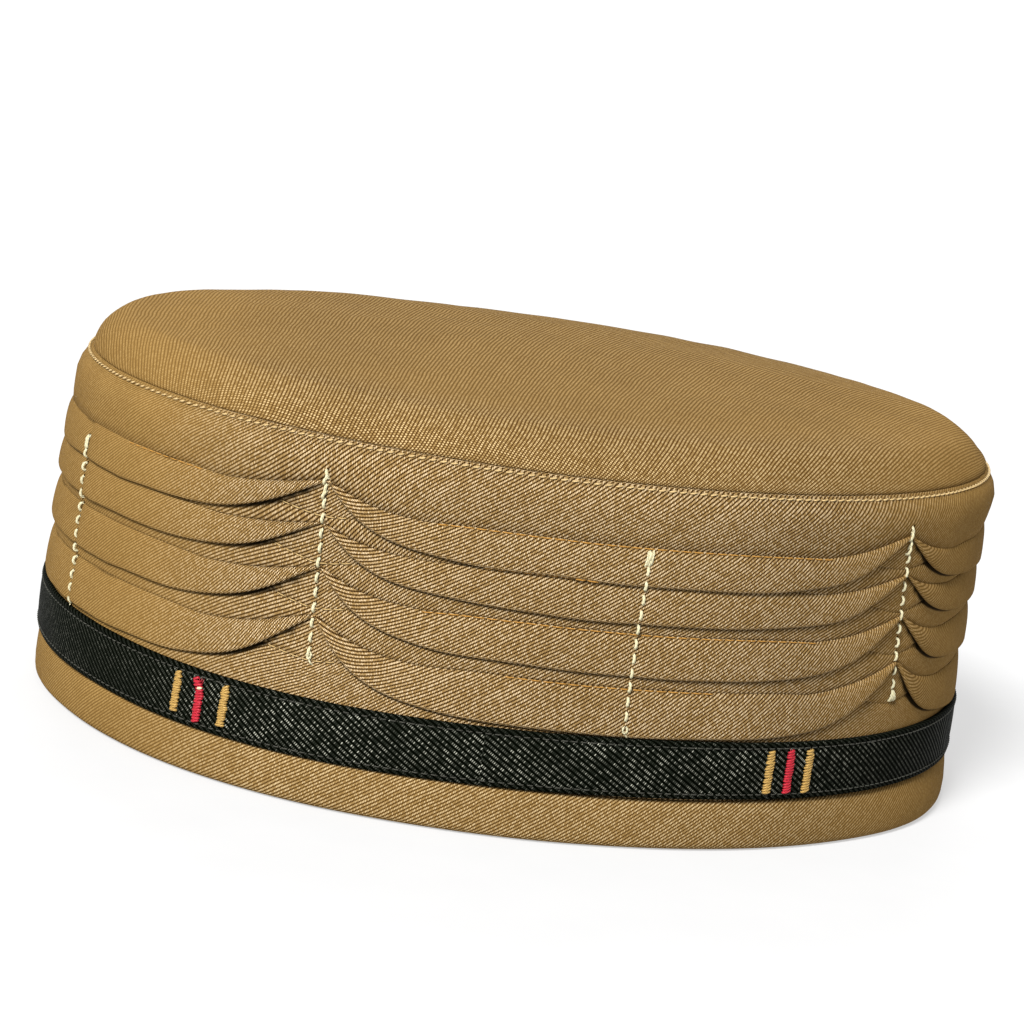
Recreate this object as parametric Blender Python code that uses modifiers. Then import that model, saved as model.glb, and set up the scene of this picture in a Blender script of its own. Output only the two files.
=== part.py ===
"""A round prayer cap: a low domed crown, a side wall with four wavy tucks, a ribbon with
embroidered bars round its foot, and a hem strip that the cap stands on.

Sizes are in millimetres and become metres where a mesh is made. An angle is in degrees round
the cap from its front, which faces -Y, and grows towards +X. A height is above the table.
"""

import math
from collections import namedtuple

import bmesh
import bpy

MM = 0.001
GAP = 0.3  # between neighbouring pieces of cloth

# Hem strip: a doubled strip of twill round the opening.
HEM_HEIGHT = 9.0
HEM_INNER_RADIUS = 89.6
HEM_OUTER_RADIUS = 92.3
HEM_EDGE_ROUND = 0.8
HEM_EDGE_LEAN = 0.25  # how far the side still leans in where its round starts

# Ribbon: a woven band sewn flat round the foot of the wall.
RIBBON_HEIGHT = 10.6
RIBBON_BOTTOM = HEM_HEIGHT + GAP
RIBBON_TOP = RIBBON_BOTTOM + RIBBON_HEIGHT
RIBBON_INNER_RADIUS = 91.8
RIBBON_THICKNESS = 1.0
RIBBON_OUTER_RADIUS = RIBBON_INNER_RADIUS + RIBBON_THICKNESS
RIBBON_CHAMFER = 0.3

# Side wall: twill on a stiff backing.
WALL_THICKNESS = 1.9
WALL_RADIUS = RIBBON_INNER_RADIUS - GAP
WALL_INNER_RADIUS = WALL_RADIUS - WALL_THICKNESS
WALL_BOTTOM = HEM_HEIGHT + GAP
WALL_TOP = 65.7
TOP_STITCH_DOWN = 0.8  # from the wall's upper edge
TOP_STITCH_HEIGHT = WALL_TOP - TOP_STITCH_DOWN
WALL_LEAN_START = 60.5  # above this height the wall bends inwards to its seam with the crown
WALL_LEAN_IN = 2.3
LEAN_AT_STITCHES = 0.75  # share of that lean at the top stitches
SEAM_DEPTH = 0.4  # how far the cloth dips where crown and wall are sewn together

# Crown: one round panel pressed over a block, with a soft shoulder and a low dome.
CROWN_BOTTOM = WALL_TOP + GAP
CROWN_THICKNESS = 1.6
CROWN_FOOT_RADIUS = WALL_RADIUS - WALL_LEAN_IN - 0.2
SHOULDER_WIDTH = 7.2
SHOULDER_RISE = 6.5
SHOULDER_POWER = 1.35  # 1 is the quarter of an ellipse, more is a flatter slope
SHOULDER_TURNS = (70, 52, 34, 17)  # degrees along the shoulder, from its top down
DOME_RISE = 4.5
DOME_SHARES = (0.0, 0.35, 0.6, 0.8, 1.0)  # of the way out to the shoulder
CROWN_STEPS = 72

# Tucks: flaps of doubled twill, each sewn to the wall along its seam.
# Where a stitch column pins them down, the fold hangs below the seam.
# Where a column pins them up, the fold is pulled above it and the seam bows down.
# In between, a flap rises from its seam to a crease and is bent over there.
Tuck = namedtuple("Tuck", "name seam fold_down fold_up seam_pinned")
TUCKS = (
    Tuck("top", 54.9, 47.9, 57.6, 51.7),
    Tuck("second", 48.3, 41.0, 50.3, 43.3),
    Tuck("third", 39.3, 31.4, 42.1, 35.2),
    Tuck("bottom", 29.3, 20.5, 33.2, 25.7),
)
FLAP_THICKNESS = 1.2
FLAP_STANDS_OUT = 1.8  # more than its thickness, where a flap is bent over
CREASE_ABOVE_FOLD = 0.4  # at the least
STEP_UNDER_FOLD = 0.5  # height of the step below a fold that hangs down
CREST_ALONG_FLAP = 0.35
CREST_STANDS_OUT = 0.75

# How a flap falls from pinned up to hanging down, on each side of a column that pins it up.
# half_way is the distance along the wall where it has fallen half way.
Fall = namedtuple("Fall", "side half_way power")
FOLD_FALL = (
    Fall("before", 9.7, 1.35),
    Fall("after", 6.4, 1.15),
)
SEAM_FALL = (
    Fall("before", 12.0, 1.6),
    Fall("after", 12.0, 1.6),
)

# Stitch columns: every other one pins the tucks down, starting with the first.
FRONT_COLUMN_ANGLES = (-63.0, -21.5, 15.0, 53.5)
COLUMN_COUNT = 10
SECTION_DISTANCES = (0.0, 1.6, 3.4, 5.4, 7.8, 10.6, 14.0, 18.5, 24.5, 31.0, 38.5, 47.0)

# Embroidered bars: groups of gold, red, gold on the ribbon.
Bar = namedtuple("Bar", "name place colour")
BARS = (
    Bar("left", -1, "gold"),
    Bar("middle", 0, "red"),
    Bar("right", 1, "gold"),
)
FRONT_BAR_ANGLES = (-34.6, 36.7)
BAR_SPACINGS = (5.5, 4.6, 5.0, 5.0, 5.0)  # from bar to bar, group by group
BAR_WIDTH = 2.1
BAR_HEIGHT = 8.0
BAR_THICKNESS = 0.6
BAR_ROUND = 0.25

TURN_STEPS = 96

# Colour, roughness.
Cloth = namedtuple("Cloth", "colour roughness")
CLOTHS = {
    "tan_twill": Cloth((0.332, 0.216, 0.094), 0.85),
    "black_ribbon": Cloth((0.024, 0.025, 0.020), 0.6),
    "gold_thread": Cloth((0.61, 0.35, 0.09), 0.5),
    "red_thread": Cloth((0.54, 0.021, 0.040), 0.5),
}


def clear_scene():
    for thing in list(bpy.data.objects):
        bpy.data.objects.remove(thing)


def cloth_material(slot):
    cloth = CLOTHS[slot]
    material = bpy.data.materials.new(slot)
    material.use_nodes = True
    shader = material.node_tree.nodes["Principled BSDF"]
    shader.inputs["Base Color"].default_value = (*cloth.colour, 1.0)
    shader.inputs["Roughness"].default_value = cloth.roughness
    shader.inputs["Metallic"].default_value = 0.0
    return material


def add_piece(name, mesh, slot, collection):
    piece = bpy.data.objects.new(name, mesh)
    collection.objects.link(piece)
    material = bpy.data.materials.get(slot) or cloth_material(slot)
    mesh.materials.append(material)
    mesh.shade_smooth()
    mesh.set_sharp_from_angle(angle=math.radians(35))
    return piece


def on_wall(angle, radius, height):
    """The point in metres at this angle, radius and height."""
    turn = math.radians(angle)
    return (
        radius * math.sin(turn) * MM,
        -radius * math.cos(turn) * MM,
        height * MM,
    )


def spread_round(front_angles, count):
    """The angles seen from the front, with the rest spaced evenly round the back."""
    first, last = front_angles[0], front_angles[-1]
    hidden = count - len(front_angles)
    step = (first + 360.0 - last) / (hidden + 1)
    return list(front_angles) + [last + step * (n + 1) for n in range(hidden)]


def turned_piece(name, profile, slot, collection, steps, closed):
    """A ring, or a cup whose profile starts and ends on the axis, turned from (radius, height)."""
    mesh = bpy.data.meshes.new(name)
    shape = bmesh.new()
    points = [shape.verts.new((radius * MM, 0.0, height * MM)) for radius, height in profile]
    for here, there in zip(points, points[1:]):
        shape.edges.new((here, there))
    if closed:
        shape.edges.new((points[-1], points[0]))
    shape.to_mesh(mesh)
    shape.free()
    piece = add_piece(name, mesh, slot, collection)
    screw = piece.modifiers.new("turn", "SCREW")
    screw.steps = steps
    screw.render_steps = steps
    screw.use_merge_vertices = True
    screw.merge_threshold = 0.00005
    return piece


def hem_profile():
    """Down the rounded outer side and back up the inner one, with a flat underside."""
    inner, outer, edge = HEM_INNER_RADIUS, HEM_OUTER_RADIUS, HEM_EDGE_ROUND
    return [
        (outer - edge, HEM_HEIGHT),
        (outer - HEM_EDGE_LEAN, HEM_HEIGHT - edge),
        (outer, HEM_HEIGHT / 2),
        (outer - HEM_EDGE_LEAN, edge),
        (outer - edge, 0.0),
        (inner + HEM_EDGE_LEAN, 0.0),
        (inner, edge),
        (inner, HEM_HEIGHT),
    ]


def ribbon_profile():
    return [
        (RIBBON_OUTER_RADIUS - RIBBON_CHAMFER, RIBBON_TOP),
        (RIBBON_OUTER_RADIUS, RIBBON_TOP - RIBBON_CHAMFER),
        (RIBBON_OUTER_RADIUS, RIBBON_BOTTOM + RIBBON_CHAMFER),
        (RIBBON_OUTER_RADIUS - RIBBON_CHAMFER, RIBBON_BOTTOM),
        (RIBBON_INNER_RADIUS, RIBBON_BOTTOM),
        (RIBBON_INNER_RADIUS, RIBBON_TOP),
    ]


def crown_skin(inset):
    """Half of the crown's section from its middle to its seam, moved in by a wall's thickness."""
    edge = CROWN_FOOT_RADIUS - SHOULDER_WIDTH
    width = SHOULDER_WIDTH - inset
    rise = SHOULDER_RISE - inset
    skin = [(edge * share, CROWN_BOTTOM + rise + DOME_RISE * (1.0 - share**2)) for share in DOME_SHARES]
    for turn in SHOULDER_TURNS:
        lean = math.radians(turn)
        across = width * math.cos(lean) ** SHOULDER_POWER
        skin.append((edge + across, CROWN_BOTTOM + rise * math.sin(lean) ** SHOULDER_POWER))
    skin.append((edge + width, CROWN_BOTTOM))
    return skin


def crown_profile():
    """Out over the dome, down to the seam, and back along the crown's inner side."""
    return crown_skin(0.0) + crown_skin(CROWN_THICKNESS)[::-1]


def share_left(distance, falls):
    """1 at the column that pins the flap up, falling to 0 along the wall on each side."""
    before, after = falls
    fall = before if distance < 0 else after
    return math.exp(-math.log(2.0) * (abs(distance) / fall.half_way) ** fall.power)


def pull(angle, up_angles, falls):
    """How strongly the nearest columns pull the tucks up at this angle, from 0 to 1."""
    total = 0.0
    for column in up_angles:
        apart = (angle - column + 180.0) % 360.0 - 180.0
        total += share_left(math.radians(apart) * WALL_RADIUS, falls)
    return min(total, 1.0)


def flap_section(tuck, angle, up_angles, ceiling):
    """The flap's crease, crest, fold and foot at this angle, below the ceiling height."""
    up = pull(angle, up_angles, FOLD_FALL)
    fold = tuck.fold_down + (tuck.fold_up - tuck.fold_down) * up
    seam = tuck.seam + (tuck.seam_pinned - tuck.seam) * pull(angle, up_angles, SEAM_FALL)
    width = tuck.seam - tuck.fold_down
    crease = min((fold + seam + width) / 2, ceiling)
    fold = min(fold, crease - CREASE_ABOVE_FOLD)
    foot = min(seam, fold - STEP_UNDER_FOLD)
    out = FLAP_THICKNESS + FLAP_STANDS_OUT * math.sin(math.pi * up) ** 2
    crest = crease + (fold - crease) * CREST_ALONG_FLAP
    return [
        (WALL_RADIUS, crease),
        (WALL_RADIUS + CREST_STANDS_OUT * out, crest),
        (WALL_RADIUS + out, fold),
        (WALL_RADIUS, foot),
    ]


def wall_section(angle, up_angles):
    """The wall's closed outline at this angle, down its outer side and up its inner side."""
    outline = [
        (WALL_RADIUS - WALL_LEAN_IN - SEAM_DEPTH, WALL_TOP),
        (WALL_RADIUS - WALL_LEAN_IN * LEAN_AT_STITCHES, TOP_STITCH_HEIGHT),
        (WALL_RADIUS, WALL_LEAN_START),
    ]
    ceiling = WALL_LEAN_START - STEP_UNDER_FOLD
    for tuck in TUCKS:
        outline += flap_section(tuck, angle, up_angles, ceiling)
        ceiling = outline[-1][1] - STEP_UNDER_FOLD
    outline += [
        (WALL_RADIUS, WALL_BOTTOM),
        (WALL_INNER_RADIUS, WALL_BOTTOM),
        (WALL_INNER_RADIUS, WALL_LEAN_START),
        (WALL_INNER_RADIUS - WALL_LEAN_IN, WALL_TOP),
    ]
    return outline


def section_angles(columns):
    """Where the wall's sections stand: close together by a column that pins the tucks up."""
    angles = set()
    for number, column in enumerate(columns):
        if number % 2 == 0:
            angles.add(column)
            continue
        for distance in SECTION_DISTANCES:
            apart = math.degrees(distance / WALL_RADIUS)
            angles.add(column - apart)
            angles.add(column + apart)
    return sorted(angles)


def add_side_wall(collection):
    """A loft through the wall's sections, which differ all the way round."""
    columns = spread_round(FRONT_COLUMN_ANGLES, COLUMN_COUNT)
    up_angles = columns[1::2]
    mesh = bpy.data.meshes.new("side_wall")
    shape = bmesh.new()
    rings = []
    for angle in section_angles(columns):
        outline = wall_section(angle, up_angles)
        rings.append([shape.verts.new(on_wall(angle, *point)) for point in outline])
    count = len(rings[0])
    for here, there in zip(rings, rings[1:] + rings[:1]):
        for n in range(count):
            after = (n + 1) % count
            shape.faces.new((here[n], here[after], there[after], there[n]))
    shape.to_mesh(mesh)
    shape.free()
    return add_piece("side_wall", mesh, "tan_twill", collection)


def add_bar(name, turn, bar, collection):
    """One satin-stitched bar, standing on the ribbon at this angle."""
    middle = RIBBON_OUTER_RADIUS + GAP + BAR_THICKNESS / 2
    bpy.ops.mesh.primitive_cube_add(size=1.0)
    cube = bpy.context.object
    mesh = cube.data
    bpy.data.objects.remove(cube)
    shape = bmesh.new()
    shape.from_mesh(mesh)
    bmesh.ops.scale(
        shape,
        vec=(BAR_WIDTH * MM, BAR_THICKNESS * MM, BAR_HEIGHT * MM),
        verts=shape.verts,
    )
    shape.to_mesh(mesh)
    shape.free()
    piece = add_piece(name, mesh, bar.colour + "_thread", collection)
    piece.location = on_wall(turn, middle, (RIBBON_BOTTOM + RIBBON_TOP) / 2)
    piece.rotation_euler = (0.0, 0.0, math.radians(turn))
    bevel = piece.modifiers.new("round", "BEVEL")
    bevel.width = BAR_ROUND * MM
    bevel.segments = 1
    return piece


def add_bars(collection):
    groups = spread_round(FRONT_BAR_ANGLES, len(BAR_SPACINGS))
    for number, (angle, spacing) in enumerate(zip(groups, BAR_SPACINGS), start=1):
        for bar in BARS:
            name = f"{bar.colour}_bar_{number}_{bar.name}"
            turn = angle + math.degrees(bar.place * spacing / RIBBON_OUTER_RADIUS)
            add_bar(name, turn, bar, collection)


def build():
    clear_scene()
    cap = bpy.data.collections.new("prayer_cap")
    bpy.context.scene.collection.children.link(cap)
    turned_piece("hem_strip", hem_profile(), "tan_twill", cap, TURN_STEPS, True)
    turned_piece("ribbon", ribbon_profile(), "black_ribbon", cap, TURN_STEPS, True)
    turned_piece("crown", crown_profile(), "tan_twill", cap, CROWN_STEPS, False)
    add_side_wall(cap)
    add_bars(cap)


build()
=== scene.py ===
# %% [markdown]
# This notebook dresses a round prayer cap for its picture. The cap's plain solids are packed in one
# shared frame: a side wall with four wavy tucks, a crown, a ribbon, a hem strip and embroidered bars.
# Each of them gets its real cloth, folds and stitches here, in the place where its solid lies.
# The frame is in metres. The sizes below are in millimetres, as a hatter would measure them.

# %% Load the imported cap
import math
import random
from collections import namedtuple

import bpy
import numpy as np
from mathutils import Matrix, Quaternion, Vector, noise


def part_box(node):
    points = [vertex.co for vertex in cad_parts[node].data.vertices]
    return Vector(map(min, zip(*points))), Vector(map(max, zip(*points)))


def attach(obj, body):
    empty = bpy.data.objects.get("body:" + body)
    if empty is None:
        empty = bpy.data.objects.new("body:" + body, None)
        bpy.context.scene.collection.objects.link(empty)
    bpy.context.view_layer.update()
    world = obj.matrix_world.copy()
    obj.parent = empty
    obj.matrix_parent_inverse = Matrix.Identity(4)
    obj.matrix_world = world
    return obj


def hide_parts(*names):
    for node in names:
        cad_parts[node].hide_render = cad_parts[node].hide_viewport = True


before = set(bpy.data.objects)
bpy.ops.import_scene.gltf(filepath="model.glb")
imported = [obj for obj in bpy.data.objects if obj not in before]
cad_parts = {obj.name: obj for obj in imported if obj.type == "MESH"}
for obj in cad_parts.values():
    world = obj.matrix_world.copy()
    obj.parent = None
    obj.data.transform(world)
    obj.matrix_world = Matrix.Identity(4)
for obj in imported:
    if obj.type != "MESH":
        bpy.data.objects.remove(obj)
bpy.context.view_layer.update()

MM = 0.001

# %% [markdown]
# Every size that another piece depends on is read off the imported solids, so that the cloth fits them.
# A solid's box gives a ring's radius and its two heights. The wall lies just inside the ribbon.

# %% Sizes read off the solids
GAP = 0.3
RIBBON_THICKNESS = 1.0
WALL_THICKNESS = 1.9


def ring_sizes(node):
    """A ring's outer radius, lowest and highest height, in millimetres."""
    low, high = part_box(node)
    return high.x / MM, low.z / MM, high.z / MM


HEM_RADIUS, _, HEM_TOP = ring_sizes("hem_strip")
RIBBON_RADIUS, RIBBON_BOTTOM, RIBBON_TOP = ring_sizes("ribbon")
CROWN_RADIUS, CROWN_BOTTOM, CROWN_TOP = ring_sizes("crown")
_, WALL_BOTTOM, WALL_TOP = ring_sizes("side_wall")
WALL_RADIUS = RIBBON_RADIUS - RIBBON_THICKNESS - GAP
WALL_INSIDE = WALL_RADIUS - WALL_THICKNESS
ROUND = 2 * math.pi * WALL_RADIUS
print(f"wall radius {WALL_RADIUS:.1f}, ribbon {RIBBON_BOTTOM:.1f} to {RIBBON_TOP:.1f}, top {CROWN_TOP:.1f}")

# %% [markdown]
# The photographer stood a long way off with a long lens and held the camera a little turned, so the cap
# looks almost like a drawing, with its rim sloping down to the right. Three facts set such a camera:
# where it stands, what it looks at, and how far it is rolled. A lens of 118 mm gives the same crop.

# %% Camera
CAMERA_PLACE = Vector((0.0, -668.5, 163.5)) * MM
CAMERA_AIM = Vector((-0.9, 0.0, 41.6)) * MM
CAMERA_ROLL = math.radians(8.0)
CAMERA_LENS = 118.3
CAMERA_NEAREST = 0.01


def put_in_scene(name, data):
    made = bpy.data.objects.new(name, data)
    bpy.context.scene.collection.objects.link(made)
    return made


camera = put_in_scene("camera", bpy.data.cameras.new("camera"))
camera.location = CAMERA_PLACE
camera.rotation_mode = "QUATERNION"
towards_cap = (CAMERA_AIM - CAMERA_PLACE).to_track_quat("-Z", "Y")
camera.rotation_quaternion = towards_cap @ Quaternion((0.0, 0.0, 1.0), CAMERA_ROLL)
camera.data.lens = CAMERA_LENS
camera.data.clip_start = CAMERA_NEAREST
bpy.context.scene.camera = camera
print("camera turned", [round(part, 3) for part in camera.rotation_quaternion])

# %% [markdown]
# The light is a plain studio light: one broad soft light from the upper left in front, a weak one from
# behind for the far side, and a pale room that fills the shadows. A light like a hazy sun reaches the whole
# floor evenly, and its width keeps the edges of the shadows soft. The picture keeps its colours as they
# are painted, so the view is set to Standard.

# %% Light
Lamp = namedtuple("Lamp", "name round_from_front height strength width")
LAMPS = (
    Lamp("key_light", -22.0, 40.0, 6.5, 18.0),
    Lamp("back_light", 185.0, 35.0, 1.4, 30.0),
)
ROOM_STRENGTH = 0.55
WHITE = (1.0, 1.0, 1.0, 1.0)


def add_lamp(lamp):
    """A broad light from far away. Its three angles are in degrees."""
    data = bpy.data.lights.new(lamp.name, "SUN")
    data.angle = math.radians(lamp.width)
    data.energy = lamp.strength
    turn, rise = math.radians(lamp.round_from_front), math.radians(lamp.height)
    comes_from = Vector((math.sin(turn) * math.cos(rise), -math.cos(turn) * math.cos(rise), math.sin(rise)))
    put_in_scene(lamp.name, data).rotation_euler = comes_from.to_track_quat("Z", "Y").to_euler()


def add_room():
    room = bpy.data.worlds.new("pale_room")
    room.use_nodes = True
    sky = room.node_tree.nodes["Background"]
    sky.inputs["Color"].default_value = WHITE
    sky.inputs["Strength"].default_value = ROOM_STRENGTH
    bpy.context.scene.world = room


for lamp in LAMPS:
    add_lamp(lamp)
add_room()
bpy.context.scene.view_settings.view_transform = "Standard"
print(len(LAMPS), "broad lights and a pale room")

# %% [markdown]
# Cloth is painted with shader nodes here. A value that differs from point to point adds a node whenever it
# is reckoned with, so that a recipe can be read like arithmetic. Numbers that hold for the whole piece,
# such as gloss, are put straight on the shader's own sockets.

# %% Values that differ from point to point


class Value:
    """An output of a node. Arithmetic on it adds the node that does the same."""

    def __init__(self, bench, socket):
        self.bench, self.socket = bench, socket

    def __add__(self, other):
        return self.bench.math("ADD", self, other)

    def __sub__(self, other):
        return self.bench.math("SUBTRACT", self, other)

    def __mul__(self, other):
        return self.bench.math("MULTIPLY", self, other)

    def __truediv__(self, other):
        return self.bench.math("DIVIDE", self, other)

    def __pow__(self, other):
        return self.bench.math("POWER", self, other)

    def __abs__(self):
        return self.bench.math("ABSOLUTE", self)


print("values that add, take away, multiply and divide")

# %% [markdown]
# The bench is where one material is mixed. Besides arithmetic it has soft ramps, mixtures of two colours,
# noise and luck. It also knows where a point lies, on the cap and on the flat cloth, and how far it lies
# towards the cap's two sides, where hands that hold a cap have rubbed it and where the painted
# highlights and glints are made dimmer.
# the hands that hold a cap by its two sides have rubbed it there.

# %% A bench for mixing materials
# The cap's sides, where it is rubbed and its painted highlights and glints are dimmer.
RUBBED_LEFT = (-0.036, -0.074)  # metres to the right where the rubbing starts, and where it is full
RUBBED_RIGHT = (0.05, 0.088)


class Bench:
    """Builds one material. Each call adds a node and returns one of its outputs."""

    def __init__(self, name):
        self.material = bpy.data.materials.new(name)
        self.material.use_nodes = True
        self.shader = self.material.node_tree.nodes["Principled BSDF"]

    def put(self, socket, value):
        if isinstance(value, Value):
            self.material.node_tree.links.new(value.socket, socket)
        else:
            socket.default_value = value

    def node(self, kind, inputs, output=0, **settings):
        made = self.material.node_tree.nodes.new("ShaderNode" + kind)
        for name, value in settings.items():
            setattr(made, name, value)
        for name, value in inputs.items():
            self.put(made.inputs[name], value)
        return Value(self, made.outputs[output])

    def math(self, operation, *values):
        return self.node("Math", dict(enumerate(values)), operation=operation)

    def floor(self, value):
        return self.math("FLOOR", value)

    def off_whole(self, value):
        """How far a value is from the nearest whole number."""
        return self.math("PINGPONG", value, 0.5)

    def ramp(self, value, low, high, to_low=0.0, to_high=1.0):
        """value from low to high becomes to_low to to_high, with soft ends."""
        numbers = dict(enumerate((value, low, high, to_low, to_high)))
        return self.node("MapRange", numbers, interpolation_type="SMOOTHSTEP")

    def mix(self, share, first, second, blend="MIX"):
        inputs = {"Factor": share, "A": first, "B": second}
        return self.node("Mix", inputs, "Result", data_type="RGBA", blend_type=blend)

    def noise(self, vector, scale, detail=2.0):
        return self.node("TexNoise", {"Vector": vector, "Scale": scale, "Detail": detail})

    def random(self, first, second):
        """A different number from 0 to 1 for each pair of whole numbers."""
        pair = self.node("CombineXYZ", {0: first, 1: second})
        return self.node("TexWhiteNoise", {"Vector": pair}, "Value", noise_dimensions="2D")

    def split(self, vector):
        """A vector's first two parts."""
        parts = self.node("SeparateXYZ", {0: vector}).socket.node.outputs
        return Value(self, parts[0]), Value(self, parts[1])

    def cloth(self):
        """How far along and how far down the cloth a point lies, in millimetres."""
        return self.node("UVMap", {}, uv_map="cloth")

    def place(self):
        """The point's own place on the cap, in metres."""
        return self.node("TexCoord", {}, "Object")

    def rubbed_less_highlight(self):
        """0 over the cap's front and 1 at its rubbed sides, where painted highlights are dimmer."""
        right = self.split(self.place())[0]
        return self.math("MAXIMUM", self.ramp(right, *RUBBED_LEFT), self.ramp(right, *RUBBED_RIGHT))

    def finish(self, colour, height, depth, roughness, gloss):
        """Joins colour and relief to the shader. roughness is for the deepest and for the highest points."""
        sockets = self.shader.inputs
        self.put(sockets["Base Color"], colour)
        self.put(sockets["Roughness"], self.ramp(height, 0.0, 1.0, *roughness))
        self.put(sockets["Normal"], self.node("Bump", {"Strength": 1.0, "Distance": depth, "Height": height}))
        sockets["Specular IOR Level"].default_value = gloss
        return self.material


def colour(*paint):
    """A colour as a paint chart gives it, 0 to 255, made linear for the shader."""
    shares = [part / 255 for part in paint]
    return (*(s / 12.92 if s <= 0.04045 else ((s + 0.055) / 1.055) ** 2.4 for s in shares), 1.0)


print("tan reads as", [round(part, 3) for part in colour(190, 155, 100)])

# %% [markdown]
# The cap is sewn from tan cotton twill. In twill each lengthwise thread floats over three crossing threads
# and dips under the fourth, one step further on its neighbour, and so the floats line up as slanting
# ribs with dark grooves between. The recipe counts threads both ways along the cloth, finds which float a
# point lies on and how far it is from the float's middle, and makes height and colour from that. The
# grooves' dark colour is partly painted shade, and the highest floats get a painted highlight.
# The counting uses the cloth's own coordinates, so the ribs turn wherever the cloth is folded or pulled.
# At the cap's two sides, where hands have rubbed it, the grooves are painted paler and the painted
# highlight is dimmer, and a panel that was pressed over a block has the same flat look in its middle.

# %% Twill
THREAD_ACROSS = 0.25  # one lengthwise thread, measured along the rim
THREAD_DOWN = 0.176  # one crossing thread
FLOAT = 4  # threads in one repeat of the twill
THREADS_STRAY = 0.6  # how far the threads wander, in millimetres
# Tones of one twill: the grooves' colour, partly painted shade, the ribs' colour, and a painted highlight.
Tones = namedtuple("Tones", "groove rib shine")
TWILL = Tones(colour(34, 15, 1), colour(156, 126, 78), colour(210, 197, 172))
HEM = Tones(colour(62, 40, 12), colour(154, 125, 77), colour(200, 184, 150))
RUBBED_LESS_HIGHLIGHT = Tones(colour(98, 74, 38), colour(139, 109, 61), colour(158, 132, 85))
OPEN_CROWN = Tones(colour(60, 36, 10), colour(150, 123, 76), colour(200, 180, 140))
PRESSED_CROWN = Tones(colour(86, 63, 30), colour(138, 111, 67), colour(162, 137, 91))
PAINTED_SLIT_SHADE = colour(12, 8, 3)
PRESSED_WITHIN, OPEN_BEYOND = 0.068, 0.088  # metres from the middle, for a panel pressed over a block


def blend(bench, share, first, second):
    return Tones(*(bench.mix(share, one, other) for one, other in zip(first, second)))


def twill(name, tones=TWILL, flat_middle=None, thread_gap=0.55, depth=0.00005):
    """flat_middle gives the tones of a panel's middle, where a block pressed it flat."""
    bench = Bench(name)
    if flat_middle:
        right, back = bench.split(bench.place())
        from_middle = (right * right + back * back) ** 0.5
        tones = blend(bench, bench.ramp(from_middle, PRESSED_WITHIN, OPEN_BEYOND), flat_middle, tones)
    groove, rib, painted_highlight = blend(bench, bench.rubbed_less_highlight(), tones, RUBBED_LESS_HIGHLIGHT)
    across, down = bench.split(bench.cloth())
    stray = (bench.noise(bench.cloth(), 0.11, 1.0) - 0.5) * THREADS_STRAY
    thread = across / THREAD_ACROSS
    column = bench.floor(thread)
    climb = (column + 0.5 + (down + stray) / THREAD_DOWN) / FLOAT
    rib_number = bench.floor(climb)
    rib_height = bench.ramp(bench.off_whole(climb), 0.06, 0.36)
    height = rib_height * bench.ramp(bench.off_whole(thread), 0.0, 0.4, thread_gap, 1.0)
    luck = bench.ramp(bench.random(column, rib_number), 0.0, 1.0, 0.78, 1.1)
    streak = bench.ramp(bench.random(rib_number, 7.0), 0.0, 1.0, 0.96, 1.03)
    light = height * luck * streak
    painted = bench.mix(light, groove, rib)
    # Painted highlight on the highest floats.
    painted = bench.mix(bench.ramp(light, 0.72, 1.1) * 0.6, painted, painted_highlight)
    cloud = bench.ramp(bench.noise(bench.place(), 38.0, 3.0), 0.3, 0.7, 0.0, 0.08)
    painted = bench.mix(cloud, painted, groove, "MULTIPLY")
    # The shade attribute is the wall's painted shade in slits, creases and pockets, mixed towards a
    # near-black colour.
    shade = bench.node("Attribute", {}, "Fac", attribute_name="shade")
    painted = bench.mix(shade * 0.94, painted, PAINTED_SLIT_SHADE)
    return bench.finish(painted, height, depth, (0.95, 0.72), 0.01)


tan_twill = twill("tan_twill_cloth")
hem_twill = twill("hem_twill_cloth", HEM)
pressed_twill = twill("pressed_twill_cloth", OPEN_CROWN, PRESSED_CROWN, thread_gap=0.4, depth=0.00002)
ribs_apart = FLOAT * THREAD_ACROSS * THREAD_DOWN / math.hypot(THREAD_ACROSS, THREAD_DOWN)
print("one rib every", round(ribs_apart, 2), "mm")

# %% [markdown]
# Thread is two or three plies twisted together. Heavy threads below get real plies, and this recipe adds
# the finer strands: slanting lines that run round and along the thread's own coordinates.

# %% Thread
STRANDS = 5.0  # fine strands seen side by side round a ply
STRAND_TURN = 1.1  # millimetres along the ply for one turn


def thread(name, dark, bright, smoothest=0.45, gloss=0.2):
    bench = Bench(name)
    round_it, along = bench.split(bench.cloth())
    strand = bench.ramp(bench.off_whole(round_it * STRANDS + along / STRAND_TURN), 0.0, 0.35)
    luck = bench.ramp(bench.noise(bench.place(), 900.0), 0.25, 0.75, 0.7, 1.0)
    painted = bench.mix(strand * luck, colour(*dark), colour(*bright))
    return bench.finish(painted, strand, 0.00004, (0.8, smoothest), gloss)


cream_thread = thread("cream_thread", (160, 148, 104), (216, 211, 180))
tuck_thread = thread("orange_gold_thread", (124, 84, 30), (188, 138, 62))
pale_thread = thread("pale_gold_thread", (124, 96, 52), (200, 172, 118))
rim_thread = thread("rim_thread", (128, 100, 58), (210, 184, 132))
gold_thread = thread("gold_bar_thread", (112, 82, 36), (178, 145, 80), 0.35)
red_thread = thread("red_bar_thread", (118, 14, 26), (180, 38, 52), 0.35)
black_thread = thread("black_thread", (5, 6, 4), (78, 78, 70), 0.5, 0.08)
hole_shade_thread = thread("needle_hole_painted_shade", (22, 13, 5), (38, 24, 10), 1.0, 0.0)
print("threads on the bench")

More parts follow.
